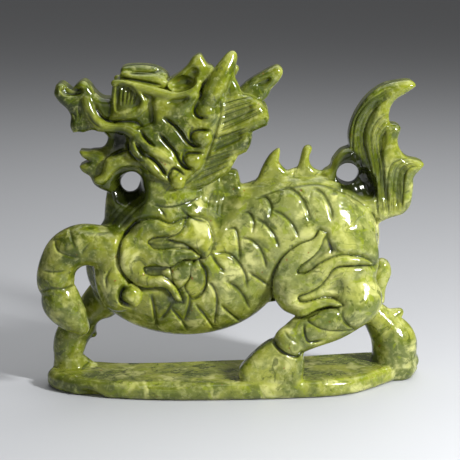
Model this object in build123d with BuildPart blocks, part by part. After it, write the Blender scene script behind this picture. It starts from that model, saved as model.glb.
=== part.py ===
from build123d import *

import os

# A carved stone qilin figurine: a scaled, hoofed beast with a dragon's head, striding on an oval plinth.
#
# The figure is cut from one block of stone, so nothing in it moves and nothing is fastened. It is modelled
# here as its carved regions, each its own closed solid that meets its neighbours face to face.
#
# Frame: +Z up, the head looks along -X and the tail is at +X, the animal's left side faces -Y.
# The origin is on the underside of the plinth. Lengths are in millimetres.

# Driving dimensions
PLINTH_TOP = 7.2
PLINTH_EDGE = 2.0
HOLE_RADIUS = 4.2
HOLE_REACH = 30.0
SKULL_HALF_WIDTH = 14.0
SKULL_EDGE = 2.0
SNOUT_HALF_WIDTH = 9.0
JAW_HALF_WIDTH = 8.0
MANE_HALF_WIDTH = 16.0
BROW_HALF_WIDTH = 8.0
BEARD_HALF_WIDTH = 6.0
CREST_HALF_WIDTH = 6.0
TAIL_HALF_WIDTH = 7.0
FIN_HALF_WIDTH = 3.5
EYE_CENTRE = (-41, 121.5)
EYE_RADIUS = 4.5
EYE_RISE = 1.5
MUSCLE_INNER = 9.0
MUSCLE_HALF_WIDTH = 20.0
MUSCLE_EDGE = 2.5
FLAME_RISE = 1.2
CURL_CENTRE = (-43, 41)
CURL_RADIUS = 6.5
CURL_SPAN = (8.0, 18.5)
CURL_EDGE = 1.5
HOCK_TUFT_SPAN = (5.0, 12.0)
# The span in y of each ear and each horn, measured outwards from the middle of the head
EAR_SPAN = (3.5, 12.0)
HORN_SPAN = (1.0, 8.0)
SIDES = {"left": -1, "right": 1}
# The animal stands a little askew on its plinth: the middle of its head and that of its tail, as y
HEAD_MID = -4.0
TAIL_MID = 2.0

# The plinth's plan, as x and y, going round from its head end
PLINTH_PLAN = [
    (-76.3, -3), (-70.5, -12), (-60, -18.5), (-45, -22.5), (-25, -25), (0, -24.5), (20, -23), (38, -20.5),
    (50, -16.5), (60, -8), (68, 1), (76, 9), (80.5, 17), (76, 25), (62, 26), (46, 23), (33, 20), (12, 15),
    (-8, 12.5), (-25, 10), (-45, 9), (-60, 11.5), (-72, 9),
]

# Cross-sections of the trunk: x, height of the centre, half height, half width
TRUNK_SECTIONS = [
    (-47, 53, 13, 10), (-40, 51, 20, 15), (-28, 52, 25.5, 18), (-14, 52.5, 27, 18.5),
    (0, 55, 26.5, 18), (14, 60, 25.5, 17.5), (28, 63, 25, 17.5), (42, 64, 22, 16.5),
    (54, 63, 16.5, 13), (61, 62, 8, 7),
]

# Sections of the neck: height, x and y of the centre, half length, half width
NECK_SECTIONS = [
    (58, -26, -2, 21, 14), (72, -26, -3, 21, 15), (82, -24, -4, 18, 14.5), (93, -19, -4, 13, 13),
]

# Limbs as x, y, z and radius, from the trunk to the ground, with y measured outwards from the middle
RAISED_FORELEG = [
    (-42, 11, 55, 9.5), (-52, 13, 61, 7.8), (-61, 14, 63, 7.2), (-69.5, 14, 57, 7),
    (-71.5, 14, 49, 7), (-70.5, 14, 43, 6.4),
]
RAISED_HOOF = [(-70.5, 14, 43, 6.6), (-68.5, 14, 38.5, 8), (-63.5, 14, 32, 6.5), (-59, 14, 27.5, 2.6)]
STANDING_FORELEG = [
    (-40, 3, 40, 8), (-50, 4, 34, 7), (-58.5, 4, 28.5, 6.4), (-65.5, 4, 20.5, 6.6), (-67.5, 4, 14.5, 6.4),
]
STANDING_FORE_HOOF = [(-67.5, 4, 14.5, 6.6), (-68, 4, 10, 6.6), (-67.3, 4, 6, 7.6)]
LEFT_SHANK = [(47, 13, 37, 11), (37, 15, 30, 8.2), (28, 17, 24, 6.6), (22, 17, 19.5, 6.2)]
LEFT_HIND_HOOF = [(22, 17, 19.5, 6.4), (16, 17, 14.5, 7.6), (10, 17, 9.5, 7.6), (6.5, 17, 6.5, 6.5)]
RIGHT_SHANK = [(54, 9, 42, 10), (60.5, 11.5, 31, 7.8), (67, 12, 21, 8.6)]
RIGHT_HIND_HOOF = [(67, 12, 21, 8.8), (69, 12, 14, 9.2), (69.5, 12, 6.3, 9.6)]
WHISKER = [
    (-59, 9, 121, 1.6), (-54.5, 9.5, 114, 2), (-49, 11, 110, 2), (-43, 14, 110, 2),
    (-37, 16, 106, 2), (-31, 16, 100.5, 1.5),
]

# Side-view outlines, as x and z. Each list of points is one smooth run, and runs meet at corners.
TAIL_OUTLINE = [
    [(52, 80), (60, 74), (60.5, 69), (70.5, 73), (74.3, 82), (75.5, 89.5), (79, 93)],
    [(79, 93), (72.5, 96), (68, 101), (69.3, 108.7)],
    [(69.3, 108.7), (65, 111), (65, 117), (70.5, 122.5)],
    [(70.5, 122.5), (75, 126)],
    [(75, 126), (70.5, 128), (60, 125.5), (51, 116), (48, 105), (48.5, 100.5)],
    [(48.5, 100.5), (43.5, 98), (40.5, 92), (36, 89)],
    [(36, 89), (44, 85), (52, 80)],
]
TAIL_HOLE = (48, 89.8)
SKULL_OUTLINE = [
    [(-46, 129.5), (-35, 128.5), (-26, 126), (-14, 127.5), (-4, 125)],
    [(-4, 125), (-4.5, 113), (-7, 104), (-12, 94), (-20, 86)],
    [(-20, 86), (-28, 87), (-35, 95), (-41, 101)],
    [(-41, 101), (-40.5, 107), (-46, 110)],
    [(-46, 110), (-48, 117), (-46, 129.5)],
]
BROW_OUTLINE = [
    [(-24, 124), (-24.5, 130), (-29, 135), (-37, 135.3), (-43, 132.5), (-44, 127)],
    [(-44, 127), (-24, 124)],
]
SNOUT_OUTLINE = [
    [(-46, 109), (-55, 110.5), (-60, 110), (-63.5, 108.5)],
    [(-63.5, 108.5), (-63.5, 116), (-68.5, 121), (-69.5, 126), (-67, 128.5)],
    [(-67, 128.5), (-62.5, 125), (-58.5, 129.3)],
    [(-58.5, 129.3), (-54.5, 124), (-50.5, 117), (-46, 115)],
    [(-46, 115), (-46, 109)],
]
JAW_OUTLINE = [
    [(-41, 101), (-46, 106), (-50, 104), (-54, 100.5), (-60.5, 100.5)],
    [(-60.5, 100.5), (-56, 97)],
    [(-56, 97), (-60.5, 94.5)],
    [(-60.5, 94.5), (-56, 90), (-52, 86), (-46, 84)],
    [(-46, 84), (-36, 85), (-28, 87)],
    [(-28, 87), (-35, 95), (-41, 101)],
]
BEARD_OUTLINE = [
    [(-28, 87), (-36, 85), (-46, 84)],
    [(-46, 84), (-49.5, 79), (-48, 66)],
    [(-48, 66), (-30, 62), (-24, 74), (-28, 87)],
]
THROAT_HOLE = (-41, 87.8)
MANE_OUTLINE = [
    [(-4, 125), (5, 125.5), (13, 119), (15, 113)],
    [(15, 113), (9, 108), (7.5, 102), (0, 93)],
    [(0, 93), (-6, 86.5), (-20, 83)],
    [(-20, 83), (-20, 86)],
    [(-20, 86), (-12, 94), (-7, 104), (-4.5, 113), (-4, 125)],
]
EAR_OUTLINE = [
    [(-25, 125), (-19, 132), (-14, 139), (-11.5, 140)],
    [(-11.5, 140), (-9, 135.5), (-6, 134.5)],
    [(-6, 134.5), (-8, 126), (-14, 125)],
    [(-14, 125), (-25, 125)],
]
HORN_OUTLINE = [
    [(-9.5, 125), (-7, 131), (-2, 138.5), (1, 140.8)],
    [(1, 140.8), (2.8, 138), (2.5, 132), (5, 125)],
    [(5, 125), (-9.5, 125)],
]
CREST_OUTLINE = [
    [(2, 124), (9, 129), (19, 134.8)],
    [(19, 134.8), (21, 132), (18, 126), (12, 119)],
    [(12, 119), (2, 124)],
]
FIN_OUTLINES = {
    "neck_fin": [
        [(-4, 76), (-3, 92), (3, 91.5)],
        [(3, 91.5), (4, 86.5), (8, 83.5)],
        [(8, 83.5), (6, 76)],
        [(6, 76), (-4, 76)],
    ],
    "front_back_fin": [
        [(8, 80), (12, 89), (16, 97), (20, 100)],
        [(20, 100), (20.5, 93), (25, 90)],
        [(25, 90), (25, 80)],
        [(25, 80), (8, 80)],
    ],
    "rear_back_fin": [
        [(25, 80), (25, 90)],
        [(25, 90), (29, 93), (32, 101)],
        [(32, 101), (34.5, 94), (40, 89)],
        [(40, 89), (40, 80)],
        [(40, 80), (25, 80)],
    ],
}
HOCK_TUFT_OUTLINE = [
    [(58, 56), (60.5, 53.5), (62.5, 53.5), (65, 48), (62.5, 40)],
    [(62.5, 40), (54, 42), (58, 56)],
]
# The muscles of the shoulder and the hip, and the flame motifs in relief on them
SHOULDER_OUTLINE = [
    [(-20, 74), (-34, 73.5), (-43, 65), (-44, 55), (-38, 45), (-27, 40), (-18, 40)],
    [(-18, 40), (-12, 50), (-8, 62), (-20, 74)],
]
HAUNCH_OUTLINE = [
    [(17, 44), (21, 58), (33, 66), (46, 67), (57, 61), (61.5, 49), (57, 34), (46, 28)],
    [(46, 28), (34, 31), (22, 33), (17, 44)],
]
SHOULDER_FLAME = [
    [(-19, 73.5), (-21, 68.5), (-27, 66.5), (-33, 65), (-31, 62), (-24, 62), (-13, 58.5)],
    [(-13, 58.5), (-19, 57), (-25, 55), (-33, 55), (-34, 51.5), (-28, 50.5), (-22, 46), (-20, 40)],
    [(-20, 40), (-24, 44), (-31, 46), (-38, 49), (-42.5, 57), (-40, 67), (-33, 73), (-27, 72.5), (-19, 73.5)],
]
HIP_FLAME = [
    [(37, 69.5), (33, 60), (27, 54.5), (30, 51), (36, 56), (45, 58.5), (58, 57)],
    [(58, 57), (47, 55), (41, 52), (36, 46), (28, 41), (33, 39), (40, 41), (45.5, 37)],
    [(45.5, 37), (39, 37.5), (31, 34), (25, 34.5), (18, 41), (17.5, 50), (23, 60), (30, 65), (37, 69.5)],
]

regions = {}


def cut_back(neighbours):
    """Removes the neighbours' volume from the open part, so that it ends on their faces."""
    for neighbour in neighbours:
        add(regions[neighbour].part, mode=Mode.SUBTRACT)


def slab(name, runs, span, neighbours=(), side=1, hole=None, edge=0, mid=0):
    """Extrudes a side-view outline over a span of y about mid, with an optional hole and chamfered rims."""
    near, far = sorted(mid + side * y for y in span)
    with BuildPart() as region:
        with BuildSketch(Plane.XZ.offset(-near)):
            with BuildLine():
                for run in runs:
                    if len(run) == 2:
                        Line(*run)
                    else:
                        Spline(*run)
            make_face()
        extrude(amount=near - far)
        if edge:
            chamfer(region.faces().filter_by(Axis.Y).edges(), length=edge)
        if hole:
            with BuildSketch(Plane.XZ):
                with Locations(hole):
                    Circle(HOLE_RADIUS)
            extrude(amount=HOLE_REACH, both=True, mode=Mode.SUBTRACT)
        cut_back(neighbours)
    regions[name] = region


def disc(name, centre, radius, span, neighbours, side, edge, mid=0):
    """Extrudes a round boss over a span of y about mid, and chamfers its rims."""
    near, far = sorted(mid + side * y for y in span)
    with BuildPart() as region:
        with BuildSketch(Plane.XZ.offset(-near)):
            with Locations(centre):
                Circle(radius)
        extrude(amount=near - far)
        chamfer(region.faces().filter_by(Axis.Y).edges(), length=edge)
        cut_back(neighbours)
    regions[name] = region


def limb(name, stations, side, neighbours=(), mid=0):
    """Lofts round sections along a bent line of x, y, z and radius, on the side of mid given as -1 or 1."""
    points = [Vector(x, mid + side * y, z) for x, y, z, radius in stations]
    last = len(points) - 1
    with BuildPart() as region:
        for i, (x, y, z, radius) in enumerate(stations):
            along = points[min(i + 1, last)] - points[max(i - 1, 0)]
            with BuildSketch(Plane(origin=points[i], x_dir=(0, 1, 0), z_dir=along)):
                Circle(radius)
        loft()
        cut_back(neighbours)
    regions[name] = region


def both_ways(half_width):
    """The span of y of a piece that is centred on its middle."""
    return (-half_width, half_width)


with BuildPart() as plinth:
    with BuildSketch():
        with BuildLine():
            Spline(*PLINTH_PLAN, periodic=True)
        make_face()
    extrude(amount=PLINTH_TOP)
    chamfer(plinth.faces().sort_by(Axis.Z)[-1].edges(), length=PLINTH_EDGE)
regions["plinth"] = plinth

with BuildPart() as trunk:
    for x, z, half_height, half_width in TRUNK_SECTIONS:
        with BuildSketch(Plane.YZ.offset(x)):
            with Locations((0, z)):
                Ellipse(half_width, half_height)
    loft()
regions["trunk"] = trunk

with BuildPart() as neck:
    for z, x, y, half_length, half_width in NECK_SECTIONS:
        with BuildSketch(Plane.XY.offset(z)):
            with Locations((x, y)):
                Ellipse(half_length, half_width)
    loft()
    cut_back(["trunk"])
regions["neck"] = neck

# Head
slab("throat_beard", BEARD_OUTLINE, both_ways(BEARD_HALF_WIDTH), ["trunk", "neck"], hole=THROAT_HOLE, mid=HEAD_MID)
slab("skull", SKULL_OUTLINE, both_ways(SKULL_HALF_WIDTH), ["neck", "throat_beard"], edge=SKULL_EDGE, mid=HEAD_MID)
slab("snout", SNOUT_OUTLINE, both_ways(SNOUT_HALF_WIDTH), ["skull"], mid=HEAD_MID)
jaw_neighbours = ["skull", "neck", "throat_beard"]
slab("lower_jaw", JAW_OUTLINE, both_ways(JAW_HALF_WIDTH), jaw_neighbours, hole=THROAT_HOLE, mid=HEAD_MID)
slab("mane", MANE_OUTLINE, both_ways(MANE_HALF_WIDTH), ["skull", "neck"], mid=HEAD_MID)
slab("mane_crest", CREST_OUTLINE, both_ways(CREST_HALF_WIDTH), ["skull", "mane"], mid=HEAD_MID)
slab("brow_horn", BROW_OUTLINE, both_ways(BROW_HALF_WIDTH), ["skull"], mid=HEAD_MID)
for side_name, side in SIDES.items():
    ear = f"{side_name}_ear"
    slab(ear, EAR_OUTLINE, EAR_SPAN, ["skull", "mane", "brow_horn"], side, mid=HEAD_MID)
    slab(f"{side_name}_horn", HORN_OUTLINE, HORN_SPAN, ["skull", "mane", "mane_crest", ear], side, mid=HEAD_MID)
    eye_span = (SKULL_HALF_WIDTH - EYE_RISE, SKULL_HALF_WIDTH + EYE_RISE)
    disc(f"{side_name}_eye", EYE_CENTRE, EYE_RADIUS, eye_span, ["skull"], side, EYE_RISE / 2, mid=HEAD_MID)
    limb(f"{side_name}_whisker", WHISKER, side, ["skull", "snout", "lower_jaw", "mane"], mid=HEAD_MID)

# Tail and spine
slab("tail", TAIL_OUTLINE, both_ways(TAIL_HALF_WIDTH), ["trunk"], hole=TAIL_HOLE, mid=TAIL_MID)
for fin, runs in FIN_OUTLINES.items():
    slab(fin, runs, both_ways(FIN_HALF_WIDTH), ["trunk", "neck", "tail", "skull", "mane"])

# Muscles
for side_name, side in SIDES.items():
    shoulder = f"{side_name}_shoulder"
    haunch = f"{side_name}_haunch"
    muscle_span = (MUSCLE_INNER, MUSCLE_HALF_WIDTH)
    flame_span = (MUSCLE_HALF_WIDTH - FLAME_RISE, MUSCLE_HALF_WIDTH + FLAME_RISE)
    body = ["trunk", "neck", "throat_beard"]
    slab(shoulder, SHOULDER_OUTLINE, muscle_span, body, side, edge=MUSCLE_EDGE)
    slab(f"{side_name}_shoulder_flame", SHOULDER_FLAME, flame_span, [*body, shoulder], side)
    slab(haunch, HAUNCH_OUTLINE, muscle_span, ["trunk"], side, edge=MUSCLE_EDGE)
    slab(f"{side_name}_hip_flame", HIP_FLAME, flame_span, ["trunk", haunch], side)

# Legs
left_front = ["trunk", "neck", "throat_beard", "left_shoulder", "left_shoulder_flame"]
limb("left_foreleg", RAISED_FORELEG, -1, left_front)
limb("left_fore_hoof", RAISED_HOOF, -1, ["left_foreleg"])
disc("left_elbow_curl", CURL_CENTRE, CURL_RADIUS, CURL_SPAN, [*left_front, "left_foreleg"], -1, CURL_EDGE)
limb("right_foreleg", STANDING_FORELEG, 1, ["trunk", "throat_beard", "right_shoulder", "right_shoulder_flame"])
limb("right_fore_hoof", STANDING_FORE_HOOF, 1, ["right_foreleg", "plinth"])
limb("left_hind_shank", LEFT_SHANK, -1, ["trunk", "left_haunch", "left_hip_flame"])
limb("left_hind_hoof", LEFT_HIND_HOOF, -1, ["left_hind_shank", "plinth"])
limb("right_hind_shank", RIGHT_SHANK, 1, ["trunk", "right_haunch", "right_hip_flame"])
limb("right_hind_hoof", RIGHT_HIND_HOOF, 1, ["right_hind_shank", "plinth"])
slab("right_hock_tuft", HOCK_TUFT_OUTLINE, HOCK_TUFT_SPAN, ["trunk", "right_haunch", "right_hind_shank"])

os.makedirs("parts", exist_ok=True)
for name, region in regions.items():
    region.part.label = name
    export_step(region.part, f"parts/{name}.step")
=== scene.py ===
import math
import bpy
import numpy as np
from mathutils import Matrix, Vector


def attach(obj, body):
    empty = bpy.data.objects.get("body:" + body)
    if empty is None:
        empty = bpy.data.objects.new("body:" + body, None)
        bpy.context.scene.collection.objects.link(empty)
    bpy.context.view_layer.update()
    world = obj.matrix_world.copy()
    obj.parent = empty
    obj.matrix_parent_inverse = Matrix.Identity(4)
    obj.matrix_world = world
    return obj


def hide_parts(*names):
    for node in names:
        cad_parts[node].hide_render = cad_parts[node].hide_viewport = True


# The figurine is sculpted as one field of signed distance, in millimetres, in the frame of the CAD model.
# Each carved region adds its own masses to the field, and every voxel remembers the region nearest to it,
# so the surface comes out as one closed mesh per region, with neighbours sharing their edges exactly.
# Fine relief is drawn in the side view and pressed into the surface afterwards.

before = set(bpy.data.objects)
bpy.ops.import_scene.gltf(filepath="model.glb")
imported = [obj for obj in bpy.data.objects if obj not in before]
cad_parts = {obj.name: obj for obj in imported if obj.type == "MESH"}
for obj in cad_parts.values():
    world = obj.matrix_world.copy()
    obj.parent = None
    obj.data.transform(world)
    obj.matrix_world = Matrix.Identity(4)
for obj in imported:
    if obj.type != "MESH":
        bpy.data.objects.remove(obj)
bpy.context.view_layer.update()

MM = 0.001
VOXEL = 0.42
# The corners of the block of voxels, the room kept around each mass, and the distance of empty space
LOW = np.array([-82.0, -29.0, -2.0])
HIGH = np.array([83.0, 29.0, 143.0])
MARGIN = 3.0
FAR = 12.0
# Steps of the rasters that hold side-view outlines, the plan's outline and the relief
OUTLINE_STEP = 0.3
PLAN_STEP = 0.5
RELIEF_STEP = 0.25
# Points put on each span of a smooth line, and of a line of the relief
SPAN = 5
FINE_SPAN = 6
# Keeps a division from being by nothing
TINY = 1e-12

# The viewing point: the side-view drawings are made as seen from here
ELEVATION = math.radians(11.5)
DISTANCE = 700.0
TARGET = (0.0, 0.0, 66.0)
EYE_Y = -DISTANCE * math.cos(ELEVATION)
EYE_Z = TARGET[2] + DISTANCE * math.sin(ELEVATION)

# The carving is cut a little askew on its plinth. These planes of y are the middles of its regions, and
# the right-hand side is drawn as the left one mirrored in them.
HEAD_MID = -4.0
TAIL_MID = 2.0
SHOULDER_MID = -3.5
HAUNCH_MID = 1.5
FLANK_MID = -1.5
NOT_MIRRORED = 20.0
SIDES = ("left", "right")
# The planes of y on which the head and its parts are drawn
ON_HEAD = -8
CHEEK_Y = HEAD_MID - 10


def seen(points, on, y):
    """Moves side-view points (x, z, ...) drawn on the plane y=on along the line of sight to depth y."""
    scale = (y - EYE_Y) / (on - EYE_Y)
    return [(p[0] * scale, EYE_Z + (p[1] - EYE_Z) * scale, *p[2:]) for p in points]


# ---- lines and outlines

def smooth_line(points, per=SPAN):
    """A Catmull-Rom line through the points, which may have any number of values each."""
    p = np.array(points, float)
    if len(p) < 3:
        return p
    p = np.vstack([2 * p[0] - p[1], p, 2 * p[-1] - p[-2]])
    t = (np.arange(per) / per)[:, None]
    spans = []
    for a, b, c, d in zip(p[:-3], p[1:-2], p[2:-1], p[3:]):
        spans.append(0.5 * (2 * b + (c - a) * t + (2 * a - 5 * b + 4 * c - d) * t ** 2
                            + (3 * b - a - 3 * c + d) * t ** 3))
    return np.vstack(spans + [p[-2][None]])


def outline(points):
    """A closed outline: smooth between corners, and a corner is a point with a third value."""
    corners = [i for i, p in enumerate(points) if len(p) > 2]
    flat = [p[:2] for p in points]
    if not corners:
        n = len(flat)
        return smooth_line([flat[(i - 1) % n] for i in range(n + 3)])[SPAN:-SPAN - 1]
    flat = flat[corners[0]:] + flat[:corners[0] + 1]
    cuts = [c - corners[0] for c in corners] + [len(flat) - 1]
    runs = [smooth_line(flat[a:b + 1])[:-1] for a, b in zip(cuts[:-1], cuts[1:])]
    return np.vstack(runs)


def line_distance(u, v, line):
    """Distance from each point to an open line, with the place along it of the nearest point."""
    best = np.full(u.shape, np.inf)
    place = np.zeros(u.shape)
    for i, (a, b) in enumerate(zip(line[:-1], line[1:])):
        step = b[:2] - a[:2]
        t = np.clip(((u - a[0]) * step[0] + (v - a[1]) * step[1]) / (step @ step + TINY), 0, 1)
        d = (u - a[0] - t * step[0]) ** 2 + (v - a[1] - t * step[1]) ** 2
        near = d < best
        best = np.where(near, d, best)
        place = np.where(near, i + t, place)
    return np.sqrt(best), place


def inside_outline(u, v, ring):
    """Whether each point is inside a closed outline."""
    odd = np.zeros(u.shape, bool)
    for a, b in zip(ring, np.roll(ring, -1, 0)):
        crosses = (a[1] > v) != (b[1] > v)
        edge = a[0] + (v - a[1]) * (b[0] - a[0]) / (b[1] - a[1] + TINY)
        odd ^= crosses & (u < edge)
    return odd


def ring_distance(u, v, ring):
    """Distance from each point to a closed outline, and whether the point is inside."""
    return line_distance(u, v, np.vstack([ring, ring[:1]]))[0], inside_outline(u, v, ring)


def eased(t):
    """Smooths a run from 0 to 1 at both its ends."""
    return t * t * (3 - 2 * t)


class Flat:
    """A raster of values over a rectangle of a plane, read back between its points."""

    def __init__(self, low, high, step):
        self.low, self.step = np.array(low, float), step
        self.values = np.zeros(np.ceil((np.array(high) - low) / step).astype(int) + 2)

    def window(self, low, high):
        """The slices that hold a rectangle, and the places of their values."""
        a = np.clip(np.floor((np.array(low) - self.low) / self.step).astype(int), 0, self.values.shape)
        b = np.clip(np.ceil((np.array(high) - self.low) / self.step).astype(int) + 1, 0, self.values.shape)
        u = self.low[0] + self.step * np.arange(a[0], b[0])[:, None]
        v = self.low[1] + self.step * np.arange(a[1], b[1])[None, :]
        return (slice(a[0], b[0]), slice(a[1], b[1])), u + 0 * v, v + 0 * u

    def read(self, u, v):
        """The values at any points, each blended from the four around it."""
        shape = self.values.shape
        gu = np.clip((u - self.low[0]) / self.step, 0, shape[0] - 1.001)
        gv = np.clip((v - self.low[1]) / self.step, 0, shape[1] - 1.001)
        i, j = gu.astype(np.int32), gv.astype(np.int32)
        fu, fv = gu - i, gv - j
        w = self.values
        return ((w[i, j] * (1 - fu) + w[i + 1, j] * fu) * (1 - fv)
                + (w[i, j + 1] * (1 - fu) + w[i + 1, j + 1] * fu) * fv)


# ---- masses: each gives a box and a distance

def blend(a, b, k):
    """The lesser of two fields, with the corner between them filled to a radius of about k."""
    if k <= 0:
        return np.minimum(a, b)
    h = np.clip(0.5 + 0.5 * (b - a) / k, 0, 1)
    return b * (1 - h) + a * h - k * h * (1 - h)


def turned(about):
    """Rotation matrix from turns in degrees about X, then Y, then Z."""
    x, y, z = (math.radians(a) for a in about)
    rx = np.array([[1, 0, 0], [0, math.cos(x), -math.sin(x)], [0, math.sin(x), math.cos(x)]])
    ry = np.array([[math.cos(y), 0, math.sin(y)], [0, 1, 0], [-math.sin(y), 0, math.cos(y)]])
    rz = np.array([[math.cos(z), -math.sin(z), 0], [math.sin(z), math.cos(z), 0], [0, 0, 1]])
    return rz @ ry @ rx


def ball(centre, radii, about=(0, 0, 0)):
    """An ellipsoid."""
    c, r, m = np.array(centre, float), np.array(radii, float), turned(about)
    reach = np.sqrt((m ** 2) @ (r ** 2))

    def distance(x, y, z):
        x, y, z = x - c[0], y - c[1], z - c[2]
        k0 = k1 = 0
        for i in range(3):
            q = (m[0, i] * x + m[1, i] * y + m[2, i] * z) / r[i]
            k0 = k0 + q ** 2
            k1 = k1 + (q / r[i]) ** 2
        k0 = np.sqrt(k0)
        return k0 * (k0 - 1) / np.sqrt(k1 + TINY)

    return [(c - reach, c + reach, distance)]


def tube(points, wide=1.0):
    """A rounded limb through points of x, y, z and radius; wide stretches its section across the body."""
    line = smooth_line(points)
    parts = []
    for a, b in zip(line[:-1], line[1:]):
        def distance(x, y, z, a=a, b=b):
            step = (b[:3] - a[:3]) / (1, wide, 1)
            px, py, pz = x - a[0], (y - a[1]) / wide, z - a[2]
            t = np.clip((px * step[0] + py * step[1] + pz * step[2]) / (step @ step + TINY), 0, 1)
            off = (px - t * step[0]) ** 2 + (py - t * step[1]) ** 2 + (pz - t * step[2]) ** 2
            return (np.sqrt(off) - a[3] - t * (b[3] - a[3])) * min(1, 0.5 + 0.5 * wide)
        reach = max(a[3], b[3]) * np.array([1, wide, 1])
        parts.append((np.minimum(a, b)[:3] - reach, np.maximum(a, b)[:3] + reach, distance))
    return parts


def filled(points, step):
    """An outline, and a raster of distance to it that is negative inside."""
    ring = outline(points)
    flat = Flat(ring.min(0) - MARGIN - 1, ring.max(0) + MARGIN + 1, step)
    box, u, v = flat.window(ring.min(0) - MARGIN - 1, ring.max(0) + MARGIN + 2)
    away, inside = ring_distance(u, v, ring)
    flat.values[box] = np.where(inside, -away, away)
    return ring, flat


def rimmed(inward, across, rim):
    """Distance to a plate with a round rim, from the distances to its outline and to its faces."""
    q1, q2 = inward + rim, across + rim
    return np.sqrt(np.maximum(q1, 0) ** 2 + np.maximum(q2, 0) ** 2) + np.minimum(np.maximum(q1, q2),
        0) - rim


def slab(points, y, half, edge):
    """A side-view outline given a half thickness on both sides of the plane y, and rounded rims."""
    ring, flat = filled(points, OUTLINE_STEP)

    def distance(x, yy, z):
        u, w, v = np.broadcast_arrays(x, yy - y, z)
        return rimmed(flat.read(u, v), np.abs(w) - half, min(edge, half))

    (low_x, low_z), (high_x, high_z) = ring.min(0), ring.max(0)
    return [(np.array([low_x, y - half, low_z]), np.array([high_x, y + half, high_z]), distance)]


def plate(points, low, top, edge):
    """A plan outline given a thickness and rounded rims."""
    ring, flat = filled(points, PLAN_STEP)
    middle, half = (low + top) / 2, (top - low) / 2

    def distance(x, y, z):
        x, y = np.broadcast_arrays(x, y)
        return rimmed(flat.read(x, y), np.abs(z - middle) - half, edge)

    return [(np.array([*ring.min(0), low]), np.array([*ring.max(0), top]), distance)]


def mirrored(parts, mid):
    """The same masses on the other side of the plane y=mid."""
    out = []
    for low, high, distance in parts:
        out.append((np.array([low[0], 2 * mid - high[1], low[2]]), np.array([high[0], 2 * mid - low[1],
            high[2]]), lambda x, y, z, d=distance: d(x, 2 * mid - y, z)))
    return out


def both(parts, mid=HEAD_MID):
    """The masses and their mirror image."""
    return parts + mirrored(parts, mid)


def on_side(side, parts, mid=HEAD_MID):
    """The masses, which are drawn for the left side, or their mirror image for the right one."""
    return parts if side == "left" else mirrored(parts, mid)


def head_slab(points, half, edge, y=HEAD_MID):
    """A slab of the head, drawn on the head's side-view plane."""
    return slab(seen(points, ON_HEAD, y), y, half, edge)


# ---- the block of stone

COUNTS = np.ceil((HIGH - LOW) / VOXEL).astype(int)
AXES = [(LOW[i] + VOXEL * np.arange(COUNTS[i])).astype(np.float32) for i in range(3)]
stone = np.full(COUNTS, FAR, np.float32)
nearest = np.full(COUNTS, FAR, np.float32)
owner = np.zeros(COUNTS, np.uint8)
names = [None]


def block_window(low, high):
    """The slices of the block that hold a box, and its coordinates ready to combine."""
    a = np.clip(np.floor((low - MARGIN - LOW) / VOXEL).astype(int), 0, COUNTS)
    b = np.clip(np.ceil((high + MARGIN - LOW) / VOXEL).astype(int), 0, COUNTS)
    cut = tuple(slice(i, j) for i, j in zip(a, b))
    x, y, z = (AXES[i][cut[i]] for i in range(3))
    return cut, x[:, None, None], y[None, :, None], z[None, None, :]


def gather(parts, join):
    """One field for several masses, over the box that holds them all."""
    low = np.min([p[0] for p in parts], 0)
    high = np.max([p[1] for p in parts], 0)
    cut = block_window(low, high)[0]
    field = np.full([s.stop - s.start for s in cut], FAR, np.float32)
    for part_low, part_high, distance in parts:
        inner, x, y, z = block_window(part_low, part_high)
        local = tuple(slice(i.start - c.start, i.stop - c.start) for i, c in zip(inner, cut))
        field[local] = blend(field[local], distance(x, y, z), join)
    return cut, field


def add(name, parts, weld=1.2, join=0.8, claim=0.0):
    """Adds a region's masses to the stone, with a fillet of weld where they meet what is there.

    The masses meet each other with a fillet of join, and the region takes claim more than its own share.
    """
    if name not in names:
        names.append(name)
    cut, field = gather(parts, join)
    stone[cut] = blend(stone[cut], field, weld)
    field = field - claim
    mine = field < nearest[cut]
    owner[cut] = np.where(mine, names.index(name), owner[cut])
    nearest[cut] = np.where(mine, field, nearest[cut])


def carve(parts, soft, join=0.5):
    """Takes masses out of the stone, with edges rounded to about soft."""
    cut, field = gather(parts, join)
    stone[cut] = -blend(-stone[cut], field, soft)


# ---- plinth

add("plinth", plate([(-76.3, -3), (-70.5, -12), (-60, -18.5), (-45, -22.5), (-25, -25), (0, -24.5),
    (20, -23), (38, -20.5), (50, -16.5), (60, -8), (68, 1), (76, 9), (80.5, 17), (76, 25), (62, 26),
    (46, 23), (33, 20), (12, 15), (-8, 12.5), (-25, 10), (-45, 9), (-60, 11.5), (-72, 9)], 0, 7.2, 2.6),
    weld=0)
carve(ball((-61, -22, 2), (10, 5.5, 2.5), (0, 12, 20)), 1.5)
carve(ball((-30, -27, 6.5), (18, 5.5, 2.0), (0, 0, 2)), 1.5)
carve(ball((-51, -26.5, 6.5), (6, 5, 3.5), (0, 20, 0)), 0.6)
carve(ball((-43, -27.5, 6), (7, 5, 2.6), (0, -12, 0)), 0.6)
carve(ball((46, -22.5, 7.5), (14, 5, 2.2), (0, 3, 20)), 1.5)

# ---- trunk, neck, muscles

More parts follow.
